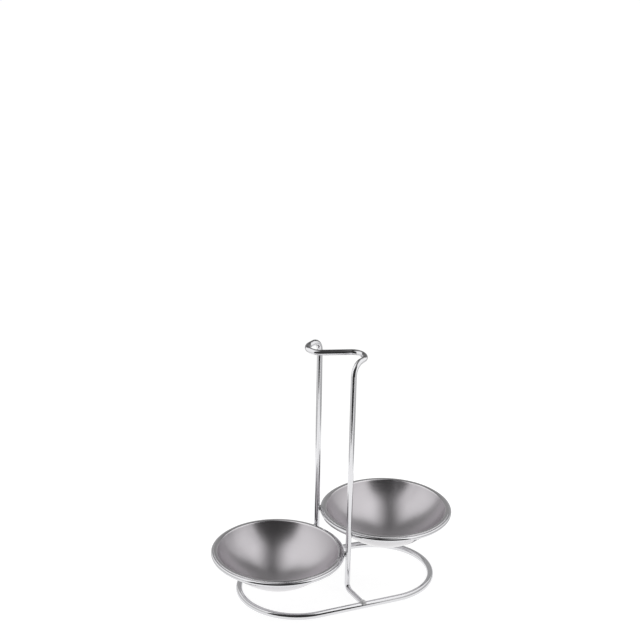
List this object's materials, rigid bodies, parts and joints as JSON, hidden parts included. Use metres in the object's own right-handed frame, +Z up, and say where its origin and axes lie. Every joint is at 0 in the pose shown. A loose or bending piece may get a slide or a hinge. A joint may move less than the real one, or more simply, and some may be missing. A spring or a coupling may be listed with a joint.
{
  "type": "ladle rest",
  "caption": "Wire ladle rest: round lift-out steel bowls on staggered rings, a stadium-shaped base loop and a tall handle whose hooked top props the ladles.",
  "frame": {"origin": "centre of the base loop, on the table", "axes": "+X along the rails towards the upper bowl, +Y to the rear, +Z up"},
  "size_m": [0.2297, 0.1288, 0.2255],
  "materials": {
    "polished_wire": "polished stainless wire",
    "weld_steel": "polished weld metal, slightly uneven",
    "bowl_steel": "brushed in circles inside, polished lip and underside"
  },
  "bodies": {
    "stand": {"base_loop": "polished_wire", "handle_hoop": "polished_wire", "left_ring": "polished_wire", "right_ring": "polished_wire", "front_foot_weld": "weld_steel", "rear_foot_weld": "weld_steel", "left_ring_front_weld": "weld_steel", "left_ring_rear_weld": "weld_steel", "right_ring_front_weld": "weld_steel", "right_ring_rear_weld": "weld_steel"},
    "left_bowl": {"left_bowl": "bowl_steel"},
    "right_bowl": {"right_bowl": "bowl_steel"}
  },
  "joints": [
    {"name": "left_bowl_lift", "type": "slide", "parent": "stand", "child": "left_bowl", "axis": [-0.5722, -0.04, 0.8192], "range_m": [0, 0.08]},
    {"name": "right_bowl_lift", "type": "slide", "parent": "stand", "child": "right_bowl", "axis": [0, 0, 1], "range_m": [0, 0.08]}
  ]
}
